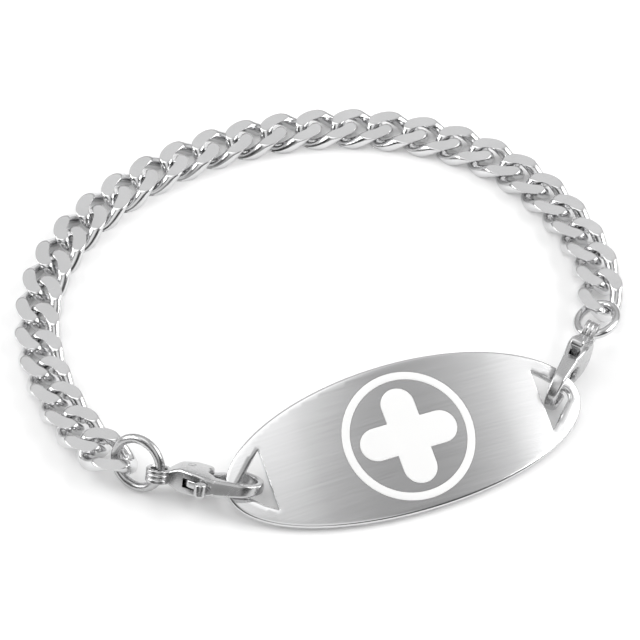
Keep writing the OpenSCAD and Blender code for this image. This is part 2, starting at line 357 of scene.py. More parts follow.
def distance_to(points, loop):
    """Distance from each point to the nearest stretch of a loop."""
    ahead = np.roll(loop, -1, 0)
    way = ahead - loop
    size = np.sum(way ** 2, axis=1) + 1e-18
    best = np.full(len(points), np.inf)
    block = 2000
    for begin in range(0, len(points), block):
        some = points[begin:begin + block]
        share = np.clip(np.sum((some[:, None] - loop) * way, axis=2) / size, 0, 1)
        near = loop + share[:, :, None] * way
        best[begin:begin + block] = np.min(np.linalg.norm(some[:, None] - near, axis=2), axis=1)
    return best


def in_region(points, loops):
    """Which points lie inside an odd number of the loops."""
    return sum(is_inside(points, loop).astype(int) for loop in loops) % 2 == 1


def depth_in(points, loops):
    """Distance from each point to the nearest of the loops."""
    return np.min([distance_to(points, loop) for loop in loops], axis=0)


def oriented(loops):
    """The loops with the first one, the outline, anticlockwise and the holes clockwise."""
    return [loop if (signed_area(loop) > 0) == (k == 0) else loop[::-1]
            for k, loop in enumerate(loops)]


def filled(loops, spacing, rows=None, clearance=0.0):
    """Triangles over the region inside an odd number of the loops: the loops' own points, a
    grid of points between them and any rows of points given. Returns the points, the triangles
    and each loop's indices."""
    corners = np.vstack(loops)
    low, high = corners.min(0), corners.max(0)
    count = np.maximum(((high - low) / spacing).astype(int), 1)
    grid = np.stack(np.meshgrid(np.linspace(low[0], high[0], count[0] + 1),
                                np.linspace(low[1], high[1], count[1] + 1)), 2).reshape(-1, 2)
    # Every other point is moved by a hair, so that four of them seldom lie on one circle
    grid[::2, 1] += 0.01 * spacing
    grid = grid[in_region(grid, loops) & (depth_in(grid, loops) > clearance + 0.45 * spacing)]
    if rows is not None:
        # Of the rows' points that lie within one cell of 0.02 mm the first is kept
        cell = np.round(rows / (0.02 * MM)).astype(int)
        rows = rows[np.sort(np.unique(cell, axis=0, return_index=True)[1])]
        grid = np.vstack([rows, grid])
    edges, indices, start = [], [], 0
    for loop in loops:
        index = np.arange(start, start + len(loop))
        edges += list(zip(index.tolist(), np.roll(index, -1).tolist()))
        indices.append(index)
        start += len(loop)
    points = np.vstack([corners, grid])
    # The triangles are found in millimetres, with a smallest distance of 1e-5 between points
    scale = 1000.0
    found = delaunay_2d_cdt([Vector(p) for p in (points * scale).tolist()], edges, [], 0, 1e-5)
    flat = np.array([tuple(p) for p in found[0]]) / scale
    triangles = np.array(found[2])
    if len(flat) != len(points):
        raise RuntimeError("an outline crosses itself: %d points became %d" % (len(points), len(flat)))
    order = np.full(len(flat), -1)
    for new, old in enumerate(found[3]):
        order[new] = old[0]
    back = np.empty(len(points), int)
    back[order] = np.arange(len(flat))
    triangles = triangles[in_region(flat[triangles].mean(axis=1), loops)]
    a, b, c = (flat[triangles[:, k]] for k in range(3))
    turn = (b - a)[:, 0] * (c - a)[:, 1] - (b - a)[:, 1] * (c - a)[:, 0]
    triangles[turn < 0] = triangles[turn < 0][:, ::-1]
    return flat, triangles, [back[index] for index in indices]


def rounded_solid(loops, top, bottom, edge, spacing, steps):
    """Shape of a flat piece with rounded edges. The height at a distance d inside the outlines
    falls by edge * (1 - sqrt(1 - (1 - d / edge) ** 2)), so the edge is a quarter circle. Rows of
    points follow the outlines at the depths edge * (1 - sin a), for a from 0 to 90 degrees,
    where no other stretch of outline is nearer. top and bottom give the heights over the plan."""
    loops = oriented(loops)
    rows = []
    for a in np.radians(np.linspace(0, 90, steps + 1))[:-1]:
        depth = edge * (1 - np.sin(a))
        row = np.vstack([loop + depth * inward(loop) for loop in loops])
        rows.append(row[in_region(row, loops) & (depth_in(row, loops) > 0.97 * depth)])
    flat, triangles, index = filled(loops, spacing, np.vstack(rows), edge)
    share = np.clip(depth_in(flat, loops) / edge, 0, 1)
    fall = edge * (1 - np.sqrt(1 - (1 - share) ** 2))
    high = top(flat[:, 0], flat[:, 1]) - fall
    low = bottom(flat[:, 0], flat[:, 1]) + fall
    count = len(flat)
    points = np.vstack([np.column_stack([flat, high]), np.column_stack([flat, low])])
    faces = triangles.tolist() + (triangles[:, ::-1] + count).tolist()
    for ring in index:
        ahead = np.roll(ring, -1)
        faces += np.stack([ring, ring + count, ahead + count, ahead], 1).tolist()
    return points, faces


# The bracelet's own shapes

def slot_reach(plate):
    """How far from the plate's middle a slot starts and ends."""
    end = plate.length / 2 - plate.rim_width
    return end - plate.slot_length, end


def slot_loop(plate, side):
    """Outline of a slot: a straight inner side whose ends run straight to a round outer end."""
    straight, end = slot_reach(plate)
    half = plate.slot_width / 2
    round_end = arc((end - SLOT_TIP, 0), SLOT_TIP, -SLOT_SWEEP, SLOT_SWEEP, 15)
    loop = np.vstack([[(straight, -half)], round_end, [(straight, half)]])
    return evenly(loop * side, SLOT_STEP)


def cross_loop(enamel, grow):
    """Outline of the equal-armed cross: straight arms with half round ends."""
    half = enamel.cross_width / 2
    reach = enamel.cross_length / 2 - half
    side = half + grow
    arm = np.vstack([[(side, -side)], arc((reach, 0), side, -90, 90, 21), [(side, side)]])
    loop = [arm @ turning((0, 0, 90 * k))[:2, :2].T for k in range(4)]
    corners = np.vstack([part[:-1] for part in loop])
    return evenly(corners, ENAMEL_STEP)


def circle_loop(radius):
    """Circle of evenly set points."""
    count = int(round(2 * np.pi * radius / ENAMEL_STEP))
    return arc((0, 0), radius, 0, 360 - 360 / count, count)


def plate_height(plate, depth):
    """Height of the plate a given depth below its face: a cylinder along its length, with a faint
    crown of rise - y * y / (2 * radius) across it, whose rise fades out before the slots."""
    def height(x, y):
        bent = np.sqrt((plate.curve_radius - depth) ** 2 - x ** 2) - plate.curve_radius
        fade = np.clip((np.abs(x) - CROWN_FADE_FROM) / CROWN_FADE_OVER, 0, 1)
        rise = plate.crown_rise * (1 - fade ** 2 * (3 - 2 * fade))
        return bent + rise - y ** 2 / (2 * plate.crown_radius)
    return height


def plate_surface(plate, enamel):
    """The oval plate: an ellipse with two slots, rounded all round, and a recess for the enamel
    whose floor and walls replace the face inside the enamel's outlines."""
    angle = np.linspace(0, 2 * np.pi, 2000, endpoint=False)
    outline = evenly(np.stack([plate.length / 2 * np.cos(angle), plate.width / 2 * np.sin(angle)], 1),
                     PLATE_STEP)
    loops = oriented([outline, slot_loop(plate, 1), slot_loop(plate, -1)])
    sides = [inward(loop) for loop in loops]
    top = plate_height(plate, 0)
    bottom = plate_height(plate, plate.thickness)
    floor = plate_height(plate, enamel.depth)
    outer = circle_loop(enamel.diameter / 2 + enamel.gap)
    inner = circle_loop(enamel.diameter / 2 - enamel.band - enamel.gap)
    cross = cross_loop(enamel, enamel.gap)

    # The edges are round all about, but crisper along a slot's straight side
    straight, _ = slot_reach(plate)
    radii = [np.full((len(outline), 1), plate.edge_round)]
    for loop in loops[1:]:
        past = np.abs(loop[:, :1]) - straight - 0.2 * MM
        crisp = 1 - np.clip(past / MM, 0, 1)
        radii.append(plate.edge_round + (plate.slot_round - plate.edge_round) * crisp)
    drawn = [loop + radius * side for loop, side, radius in zip(loops, sides, radii)]
    spacing = 0.45 * MM
    # The face outside the ring, the face between the ring and the cross, and the recess's floor
    face, face_faces, face_index = filled(drawn + [outer], spacing)
    disc, disc_faces, disc_index = filled([inner, cross], spacing)
    band, band_faces, band_index = filled([outer, inner], spacing)
    star, star_faces, star_index = filled([cross], spacing)
    back, back_faces, back_index = filled(drawn, spacing)
    sheets = [(face, face_faces, top), (disc, disc_faces, top), (band, band_faces, floor),
              (star, star_faces, floor), (back, back_faces[:, ::-1], bottom)]
    points, faces, starts, total = [], [], [], 0
    for flat, triangles, height in sheets:
        points.append(np.column_stack([flat, height(flat[:, 0], flat[:, 1])]))
        faces += (triangles + total).tolist()
        starts.append(total)
        total += len(flat)

    def wall(upper, lower, outwards):
        quads = np.stack([upper, lower, np.roll(lower, -1), np.roll(upper, -1)], 1)
        return (quads if outwards else quads[:, ::-1]).tolist()

    faces += wall(face_index[3] + starts[0], band_index[0] + starts[2], False)
    faces += wall(disc_index[0] + starts[1], band_index[1] + starts[2], True)
    faces += wall(disc_index[1] + starts[1], star_index[0] + starts[3], False)
    # The rounded edges: rows down a quarter circle from the face, and on down to the back
    steps = 5
    for k, (loop, side, radius) in enumerate(zip(loops, sides, radii)):
        rings = [face_index[k] + starts[0]]
        here = loop + radius * side
        for height, sign, angles in ((top, -1, np.linspace(0, 90, steps + 1)[1:]),
                                     (bottom, 1, np.linspace(90, 0, steps + 1)[:-1])):
            for a in np.radians(angles):
                flat = loop + radius * (1 - np.sin(a)) * side
                z = height(here[:, 0], here[:, 1]) + sign * radius[:, 0] * (1 - np.cos(a))
                points.append(np.column_stack([flat, z]))
                rings.append(np.arange(total, total + len(loop)))
                total += len(loop)
        rings.append(back_index[k] + starts[4])
        for upper, lower in zip(rings[:-1], rings[1:]):
            faces += wall(upper, lower, True)
    return np.vstack(points), faces


def enamel_surface(plate, enamel):
    """The enamel ring and cross: low solids that follow the plate's curve, edges rounded."""
    top = plate_height(plate, -enamel.proud)
    bottom = plate_height(plate, enamel.depth - enamel.gap)
    ring = [circle_loop(enamel.diameter / 2), circle_loop(enamel.diameter / 2 - enamel.band)]
    cross = [cross_loop(enamel, 0)]
    return joined([rounded_solid(loops, top, bottom, edge=0.05 * MM, spacing=0.4 * MM, steps=3)
                   for loops in (ring, cross)])


def route_basis(s):
    """Weights of four control points of a smooth cubic curve, and of its direction."""
    place = np.stack([(1 - s) ** 3, 3 * s ** 3 - 6 * s ** 2 + 4,
                      -3 * s ** 3 + 3 * s ** 2 + 3 * s + 1, s ** 3], -1) / 6
    way = np.stack([-(1 - s) ** 2, 3 * s ** 2 - 4 * s,
                    -3 * s ** 2 + 2 * s + 1, s ** 2], -1) / 2
    return place, way


def on_route(u):
    """Points and directions on the route, u counting its spans."""
    span = np.minimum(np.floor(u).astype(int), len(ROUTE) - 4)
    place, way = route_basis(u - span)
    near = ROUTE[span[:, None] + np.arange(4)]
    return np.sum(place[:, :, None] * near, 1), np.sum(way[:, :, None] * near, 1)


def link_stations():
    """Where the links' middles lie, as spans of the route: even steps along its length."""
    steps = 24
    u = np.arange(0, (len(ROUTE) - 3) * steps + 1) / steps
    points, _ = on_route(u)
    sums = np.concatenate([[0], np.cumsum(np.linalg.norm(np.diff(points, axis=0), axis=1))])
    pitch = sums[-1] / (LINK_COUNT - 1)
    return np.interp(np.arange(LINK_COUNT) * pitch, sums, u), pitch


def link_surface(a, b, c, wire, thickness):
    """One link: the middle line is x = a cos u, y = b sin u, z = -c sin 2u. The section is a
    circle across that line whose height is cut off at half the chain's thickness above and
    below, with a narrow rounding where the flat starts."""
    around, sides, rounding = 112, 44, 0.12 * MM
    u = np.linspace(0, 2 * np.pi, around, endpoint=False)
    middle = np.stack([a * np.cos(u), b * np.sin(u), -c * np.sin(2 * u)], 1)
    way = np.stack([-a * np.sin(u), b * np.cos(u), -2 * c * np.cos(2 * u)], 1)
    side = np.stack([way[:, 1], -way[:, 0], 0 * u], 1)
    side /= np.linalg.norm(side, axis=1)[:, None]
    over = np.cross(side, way) / np.linalg.norm(way, axis=1)[:, None]
    up = over * np.sign(over[:, 2:])
    high = (thickness / 2 - middle[:, 2]) / up[:, 2]
    low = (-thickness / 2 - middle[:, 2]) / up[:, 2]
    turn = 2 * np.pi * (np.arange(sides) + 0.5) / sides
    rise = wire / 2 * np.sin(turn) + 0 * u[:, None]
    rise = soft_min(rise, high[:, None], rounding)
    rise = -soft_min(-rise, -low[:, None], rounding)
    rings = (middle[:, None] + wire / 2 * np.cos(turn)[None, :, None] * side[:, None]
             + rise[:, :, None] * up[:, None])
    return closed_tube(rings)


def ring_surface(diameter, wire):
    """The jump ring: a circle of wire carried round a circle. The wire's radius r shrinks to
    r * (1 - 0.1 * exp(-(d / 0.05 mm) ** 2)) at a distance d from the saw cut that opens it."""
    around, sides, cut = 160, 32, 200
    angle = np.linspace(0, 2 * np.pi, around, endpoint=False)[:, None]
    turn = np.linspace(0, 2 * np.pi, sides, endpoint=False)[None, :]
    middle = (diameter - wire) / 2
    away = np.abs((angle - np.radians(cut) + np.pi) % (2 * np.pi) - np.pi)
    radius = wire / 2 * (1 - 0.10 * np.exp(-(away * middle / (0.05 * MM)) ** 2))
    reach = middle + radius * np.cos(turn)
    height = radius * np.sin(turn) + 0 * angle
    return closed_tube(np.stack([reach * np.cos(angle), reach * np.sin(angle), height], 2))


def clasp_sizes(clasp):
    """Radius of the hook and the place of its middle."""
    radius = clasp.hook_width / 2
    return radius, clasp.length - clasp.eye_diameter / 2 - radius


def clasp_outline(clasp):
    """Outline of a clasp from the neck along the spine, round the hook to its tip, and back
    inside the hook over the cheek."""
    radius, middle = clasp_sizes(clasp)
    band = clasp.hook_band
    loop = np.vstack([
        bend((NECK_START, -NECK_WIDTH / 2), mm(2.6, -1.2), (4 * MM, -radius), (CHEEK_X, -radius), 21),
        arc((middle, 0), radius, -90, TIP_ANGLE, 61),
        arc((middle, 0), radius - band, TIP_ANGLE, -90, 51),
        bend((middle - 0.6 * MM, -radius + band), (8.6 * MM, -radius + band),
             (CHEEK_X + 0.2 * MM, -1.4 * MM), (CHEEK_X, -0.1 * MM), 17),
        bend((CHEEK_X + 0.1 * MM, 0.7 * MM), (CHEEK_X + 0.6 * MM, 1.3 * MM),
             (CHEEK_X + 0.9 * MM, CHEEK_Y), (CHEEK_X, CHEEK_Y + 0.05 * MM), 17),
        bend((CHEEK_X - 0.6 * MM, CHEEK_Y + 0.1 * MM), (4.6 * MM, CHEEK_Y + 0.2 * MM),
             (2.6 * MM, CHEEK_Y - 0.1 * MM), (NECK_START, NECK_WIDTH / 2), 21),
    ])
    return evenly(loop, CLASP_STEP)


def clasp_height(clasp):
    """Half the clasp's height along its length: the neck, the cheeks, the step down to the
    hook and the hook thinning to its end. Each corner is softened by a mean over half a
    millimetre, and the cheeks fall by 0.02 y * y towards their sides, in millimetres."""
    radius, middle = clasp_sizes(clasp)
    x = np.array([0, 1.2, 2.6, 4.4, 6.7, 6.75, middle / MM, middle / MM + radius / MM]) * MM
    z = np.array([clasp.eye_height / 2, clasp.eye_height / 2, clasp.thickness / 2, clasp.thickness / 2,
                  clasp.hook_height / 2 + 0.15 * MM, clasp.hook_height / 2,
                  clasp.hook_height / 2 - 0.2 * MM, clasp.tip_height / 2])

    def height(px, py):
        total = 0
        for shift in np.linspace(-0.25, 0.25, 7):
            total = total + np.interp(px + shift * MM, x, z)
        fall = 0.02 * (py / MM) ** 2 * MM * (px < 7 * MM)
        return total / 7 - fall - 0.01 * MM
    return height


def carved(solid, cutters, material):
    """Shape of a closed solid with closed cutters taken out of it."""
    piece = new_piece("solid", solid, material)
    tools = [new_piece("cutter", cutter, material) for cutter in cutters]
    for tool in tools:
        cut = piece.modifiers.new("cut", "BOOLEAN")
        cut.operation = "DIFFERENCE"
        cut.solver = "EXACT"
        cut.object = tool
    bpy.context.view_layer.update()
    graph = bpy.context.evaluated_depsgraph_get()
    mesh = bpy.data.meshes.new_from_object(piece.evaluated_get(graph))
    points = np.empty(len(mesh.vertices) * 3)
    mesh.vertices.foreach_get("co", points)
    faces = [tuple(polygon.vertices) for polygon in mesh.polygons]
    bpy.data.meshes.remove(mesh)
    for old in (piece, *tools):
        mesh = old.data
        bpy.data.objects.remove(old)
        bpy.data.meshes.remove(mesh)
    return points.reshape(-1, 3), faces


def prism(outline, low, high):
    """Straight-sided solid over an outline that runs anticlockwise."""
    count = len(outline)
    points = np.vstack([np.column_stack([outline, np.full(count, low)]),
                        np.column_stack([outline, np.full(count, high)])])
    ahead = (np.arange(count) + 1) % count
    faces = [(k, int(ahead[k]), int(ahead[k]) + count, k + count) for k in range(count)]
    faces += [tuple(range(count - 1, -1, -1)), tuple(range(count, 2 * count))]
    return points, faces


def eye_surface(clasp):
    """The clasp's eye: a profile turned round the z axis. With z from -1 to 1 over its height,
    two grooves take 0.09 * exp(-((|z| - 1/3) / 0.09) ** 2) mm off the outer radius, and towards
    its ends the outside draws in and the hole widens by squares."""
    z = np.linspace(-1, 1, 61)
    half = clasp.eye_height / 2
    outer = clasp.eye_diameter / 2 - 0.09 * MM * np.exp(-((np.abs(z) - 1 / 3) / 0.09) ** 2)
    edge = 0.14 * MM * np.clip((np.abs(z) - 0.86) / 0.14, 0, 1) ** 2
    outside = np.stack([outer - edge, z * half], 1)
    inside = np.stack([clasp.eye_hole / 2 + 0.12 * MM * np.clip((np.abs(z) - 0.8) / 0.2, 0, 1) ** 2,
                       z * half], 1)[::-3]
    return closed_tube(round_axis(np.vstack([outside, inside]), 72))


def lever_slot(clasp):
    """Outline of the slot that the lever swings in: open past the spine and into the mouth, and
    a little wider than the lever behind it."""
    spine = clasp.hook_width / 2 / MM
    cheek = CHEEK_Y / MM - 0.4
    return np.array([
        (3.8, -spine - 1), (6.6, -spine - 1), (6.6, (clasp.hook_band - clasp.hook_width / 2) / MM),
        (8.4, -1.1), (8.4, cheek), (5.4, cheek), (3.5, 1.85), (2.7, 1.2),
        (2.72, 0.3), (2.77, -0.36), (2.81, -1.0), (2.95, -1.6), (3.25, -2.15), (3.8, -2.95),
    ]) * MM


def clasp_surface(clasp, pose, material):
    """A clasp's body where it lies: the rounded outline solid with the lever's slot and the
    pin's bore cut out, and its eye."""
    height = clasp_height(clasp)
    body = rounded_solid([clasp_outline(clasp)], height, lambda x, y: -height(x, y),
                         edge=0.3 * MM, spacing=0.14 * MM, steps=6)
    slot = prism(lever_slot(clasp), -clasp.lever / 2 - PLAY, clasp.lever / 2 + PLAY)
    bore = prism(arc(PIVOT, (clasp.pin + PLAY) / 2, 0, 350, 36), -3 * MM, 3 * MM)
    body = carved(placed(body, pose), [placed(slot, pose), placed(bore, pose)], material)
    return joined([body, placed(eye_surface(clasp), pose)])


def lever_outline(clasp):
    """Outline of the lever: the gate from the pivot to the hook's tip, and the thumb piece."""
    radius, middle = clasp_sizes(clasp)
    tip_way = np.array([np.cos(np.radians(TIP_ANGLE)), np.sin(np.radians(TIP_ANGLE))])
    tip = np.array([middle, 0]) + radius * tip_way
    foot = np.array([middle, 0]) + (radius - clasp.hook_band) * tip_way
    knob = knob_place(clasp)
    loop = np.vstack([
        bend(PIVOT + mm(-0.9, -0.4), mm(3.0, -0.8), mm(3.2, -1.6), mm(3.8, -2.15), 11),
        [mm(4.6, -2.7), knob + mm(-0.65, 0.7), knob + mm(-0.5, 0.0), knob + mm(0.5, 0.0),
         knob + mm(0.65, 0.7)],
        bend(PIVOT + mm(0.9, -0.5), mm(6.2, 0.7), mm(6.6, 1.0), mm(7.4, 1.1), 9),
        [foot + np.array([-PLAY - 0.05 * MM, 0]), tip + np.array([-PLAY - 0.05 * MM, -0.05 * MM])],
        bend((7.6 * MM, CHEEK_Y + 0.15 * MM), mm(7.0, 2.15), mm(6.4, 1.9),
             (6 * MM, CHEEK_Y - 0.55 * MM), 9),
        arc(PIVOT, 1.0 * MM, 90, 202, 15),
    ])
    return evenly(loop, LEVER_STEP)


def knob_place(clasp):
    """Where the thumb knob stands, beside the spine."""
    return np.array([KNOB_X, -clasp.hook_width / 2 - KNOB_DIAMETER / 2 - KNOB_STAND])


def knob_surface(clasp):
    """The thumb knob: a drum with rounded edges and a slightly domed end."""
    half, radius, edge = KNOB_HEIGHT / 2, KNOB_DIAMETER / 2, 0.3 * MM
    a = np.radians(np.linspace(0, 90, 9))
    lower = np.stack([radius - edge + edge * np.sin(a), -half + edge * (1 - np.cos(a))], 1)
    upper = np.stack([lower[::-1, 0], -lower[::-1, 1]], 1)
    inner = np.linspace(0.15, 0.85, 4)[:, None] * (radius - edge)
    dome = 0.03 * MM * (1 - (inner / (radius - edge)) ** 2)
    low_disc = np.hstack([inner, -half - dome + 0.03 * MM])
    high_disc = np.hstack([inner[::-1], half + dome[::-1] - 0.03 * MM])
    profile = np.vstack([[(0, -half)], low_disc, lower, upper, high_disc, [(0, half)]])
    points, faces = turned_solid(profile, 40)
    return points + np.array([*knob_place(clasp), 0]), faces


def lever_surface(clasp):
    """The sprung lever: a flat piece with rounded edges, and its knob."""
    half = clasp.lever / 2
    body = rounded_solid([lever_outline(clasp)], lambda x, y: half + 0 * x, lambda x, y: -half + 0 * x,
                         edge=0.14 * MM, spacing=0.2 * MM, steps=4)
    return joined([body, knob_surface(clasp)])


def pin_surface(clasp):
    """The lever's pin: a round rod hammered out to fill its bore, its ends worn to a low dome."""
    half, radius, edge = clasp.thickness / 2, (clasp.pin + PLAY) / 2 - 0.01 * MM, 0.08 * MM
    a = np.radians(np.linspace(0, 90, 6))
    lower = np.stack([radius - edge + edge * np.sin(a), -half + edge * (1 - np.cos(a)) + 0.03 * MM], 1)
    upper = np.stack([lower[::-1, 0], -lower[::-1, 1]], 1)
    profile = np.vstack([[(0, -half)], [(radius * 0.5, -half + 0.008 * MM)], lower, upper,
                         [(radius * 0.5, half - 0.008 * MM)], [(0, half)]])
    points, faces = turned_solid(profile, 36)
    return points + np.array([*PIVOT, 0]), faces


# Shader maths as plain expressions

class Value:
    """One output socket. Adding a number or another value to it, taking it away or multiplying
    by it makes the Math node for it."""

    def __init__(self, finish, socket):
        self.finish = finish
        self.socket = socket

    def maths(self, operation, first, second):
        node = self.finish.node("ShaderNodeMath", {"operation": operation}, {0: first, 1: second})
        return node("Value")

    def __add__(self, other):
        return self.maths("ADD", self, other)

    def __radd__(self, other):
        return self.maths("ADD", other, self)

    def __sub__(self, other):
        return self.maths("SUBTRACT", self, other)

    def __rsub__(self, other):
        return self.maths("SUBTRACT", other, self)

    def __mul__(self, other):
        return self.maths("MULTIPLY", self, other)

    def __rmul__(self, other):
        return self.maths("MULTIPLY", other, self)


class Finish:
    """The nodes of a material, or of the world given as the owner."""

    def __init__(self, name, owner=None):
        self.owner = owner or bpy.data.materials.new(name)
        self.owner.use_nodes = True
        self.tree = self.owner.node_tree
        self.surface = self.tree.nodes["Background" if owner else "Principled BSDF"]

    def node(self, kind, settings=None, inputs=None):
        """Adds a node, sets its settings and then its sockets, each a value, a number or a
        colour, and gives back a function from an output's name to its value."""
        node = self.tree.nodes.new(kind)
        for name, setting in (settings or {}).items():
            if name == "stops":
                ramp = node.color_ramp
                while len(ramp.elements) > 1:
                    ramp.elements.remove(ramp.elements[-1])
                for k, (place, colour) in enumerate(setting):
                    stop = ramp.elements[0] if k == 0 else ramp.elements.new(place)
                    stop.position = place
                    stop.color = (*colour, 1.0)
            else:
                setattr(node, name, setting)
        for name, value in (inputs or {}).items():
            self.put(node.inputs[name], value)
        return lambda output: Value(self, node.outputs[output])

    def put(self, socket, value):
        """Links a value to a socket, or sets a plain number or colour on it."""
        if isinstance(value, Value):
            self.tree.links.new(value.socket, socket)
        else:
            socket.default_value = value

    def set(self, **sockets):
        """Sets sockets of the surface shader, named with low lines for blanks."""
        for name, value in sockets.items():
            self.put(self.surface.inputs[name.replace("_", " ")], value)

    def place(self):
        """Object coordinates: every piece's object sits at the origin."""
        return self.node("ShaderNodeTexCoord")("Object")

    def mapped(self, turn, scale):
        """Object coordinates turned by degrees and then scaled."""
        turned = self.node("ShaderNodeMapping", {"vector_type": "TEXTURE"},
                           {"Vector": self.place(), "Rotation": tuple(np.radians(turn))})
        return self.node("ShaderNodeVectorMath", {"operation": "MULTIPLY"},
                         {0: turned("Vector"), 1: scale})("Vector")

    def size_of(self, value):
        """A value without its sign."""
        return self.node("ShaderNodeMath", {"operation": "ABSOLUTE"}, {0: value})("Value")

    def along(self, vector, way):
        """How far a vector reaches along a fixed way."""
        return self.node("ShaderNodeVectorMath", {"operation": "DOT_PRODUCT"},
                         {0: vector, 1: tuple(way)})("Value")

    def noise(self, vector, scale, detail, roughness):
        """Cloudy noise from 0 to 1."""
        return self.node("ShaderNodeTexNoise", None, {"Vector": vector, "Scale": scale,
                                                      "Detail": detail, "Roughness": roughness})("Fac")

    def spread(self, value, low, high, out_low, out_high):
        """A value's range low to high stretched to another range and held within it."""
        return self.node("ShaderNodeMapRange", {"clamp": True},
                         {"Value": value, "From Min": low, "From Max": high,
                          "To Min": out_low, "To Max": out_high})("Result")

    def between(self, share, first, second):
        """A colour between two colours, which are sockets 6 and 7 of the Mix node."""
        return self.node("ShaderNodeMix", {"data_type": "RGBA"},
                         {0: share, 6: (*first, 1.0), 7: (*second, 1.0)})(2)

    def bump(self, height, strength):
        """A fine relief from a height value."""
        return self.node("ShaderNodeBump", None,
                         {"Height": height, "Strength": strength, "Distance": BUMP_DEPTH})("Normal")


def shade_of(colour, factor):
    """A colour made darker or lighter."""
    return tuple(min(1.0, c * factor) for c in colour)


def satin_steel(colour):
    """Plate steel: fine brushing along the plate's length and faint cloudiness, with polished
    edges and bars."""
    finish = Finish("satin_plate_steel")
    at, angles = PLATE_POSE
    turn = turning(angles)
    fine = finish.noise(finish.mapped(angles, (110, 5200, 110)), 1.0, 3.0, 0.6)
    wide = finish.noise(finish.mapped(angles, (30, 700, 30)), 1.0, 2.0, 0.5)
    cloud = finish.noise(finish.place(), 180.0, 2.0, 0.5)
    brushed = 0.8 * fine + 0.2 * wide
    tone = finish.spread(brushed, 0.3, 0.7, 0.0, 1.0)
    # The satin face and the polished edge, told apart by how far the surface turns from the face
    facing = finish.along(finish.node("ShaderNodeTexCoord")("Normal"), turn[:, 2])
    satin = finish.spread(finish.size_of(facing), 0.9, 0.97, 0.0, 1.0)
    # The narrow bars past the slots' straight sides are polished too
    way = turn[:, 0]
    off_middle = finish.size_of(finish.along(finish.place(), way) - float(way @ (np.array(at) - MIDDLE)))
    satin = satin * finish.spread(off_middle, SATIN_END, BAR_START, 1.0, 0.0)
    rough = finish.spread(0.7 * brushed + 0.3 * cloud, 0.3, 0.7, 0.195, 0.235)
    finish.set(Base_Color=finish.between(tone, shade_of(colour, 0.96), shade_of(colour, 1.03)),
               Metallic=1.0,
               Roughness=rough * satin + EDGE_ROUGHNESS * (1.0 - satin),
               Normal=finish.bump(brushed * satin, 0.03))
    return finish.owner


def polished_steel(name, colour, roughness):
    """Polished steel: rounded tumbling marks, faint wear and a few fine scratches."""
    finish = Finish(name)
    marks = finish.noise(finish.place(), 900.0, 3.0, 0.5)
    cloud = finish.noise(finish.place(), 160.0, 2.0, 0.5)
    scratch = finish.noise(finish.mapped((0, 0, 35), (200, 5200, 900)), 1.0, 2.0, 0.5)
    lines = finish.spread(scratch, 0.62, 0.72, 0.0, 1.0)
    tone = finish.spread(cloud, 0.35, 0.65, 0.0, 1.0)
    rough = finish.spread(marks, 0.3, 0.7, roughness - 0.03, roughness + 0.05)
    finish.set(Base_Color=finish.between(tone, shade_of(colour, 0.96), shade_of(colour, 1.03)),
               Metallic=1.0,
               Roughness=rough + 0.08 * lines,
               Normal=finish.bump(0.7 * marks + 0.3 * lines, 0.05))
    return finish.owner


def white_enamel(colour):
    """Enamel: white and glossy, with a trace of orange peel and of cloudiness."""
    finish = Finish("white_enamel")
    peel = finish.noise(finish.place(), 1400.0, 2.0, 0.5)
    cloud = finish.noise(finish.place(), 300.0, 2.0, 0.5)
    tone = finish.spread(cloud, 0.3, 0.7, 0.0, 1.0)
    finish.set(Base_Color=finish.between(tone, shade_of(colour, 0.99), colour),
               Roughness=finish.spread(cloud, 0.3, 0.7, 0.3, 0.36),
               Coat_Weight=0.25, Coat_Roughness=0.12,
               Normal=finish.bump(peel, 0.03))
    return finish.owner


# Operators, one for each piece or group of like pieces

def stands_for(piece, node, body=BODY):
    """Makes a piece ride on a body in place of its solid."""
    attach(piece, body)
    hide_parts(node)


class BRACELET_OT_plate(bpy.types.Operator):
    """Build the oval plate with its slots and the recess for the enamel"""
    bl_idname = "bracelet.plate"
    bl_label = "Plate"

    def execute(self, context):
        plate, enamel = context.scene.bracelet_plate, context.scene.bracelet_enamel
        piece = new_piece("plate", placed(plate_surface(plate, enamel), PLATE_POSE),
                          satin_steel(plate.colour), sharp_angle=40)
        stands_for(piece, "id_plate")
        return {"FINISHED"}


class BRACELET_OT_enamel(bpy.types.Operator):
    """Build the enamel ring and cross"""
    bl_idname = "bracelet.enamel"
    bl_label = "Enamel"

    def execute(self, context):
        plate, enamel = context.scene.bracelet_plate, context.scene.bracelet_enamel
        piece = new_piece("enamel", placed(enamel_surface(plate, enamel), PLATE_POSE),
                          white_enamel(enamel.colour), sharp_angle=50)
        stands_for(piece, "enamel_emblem")
        return {"FINISHED"}


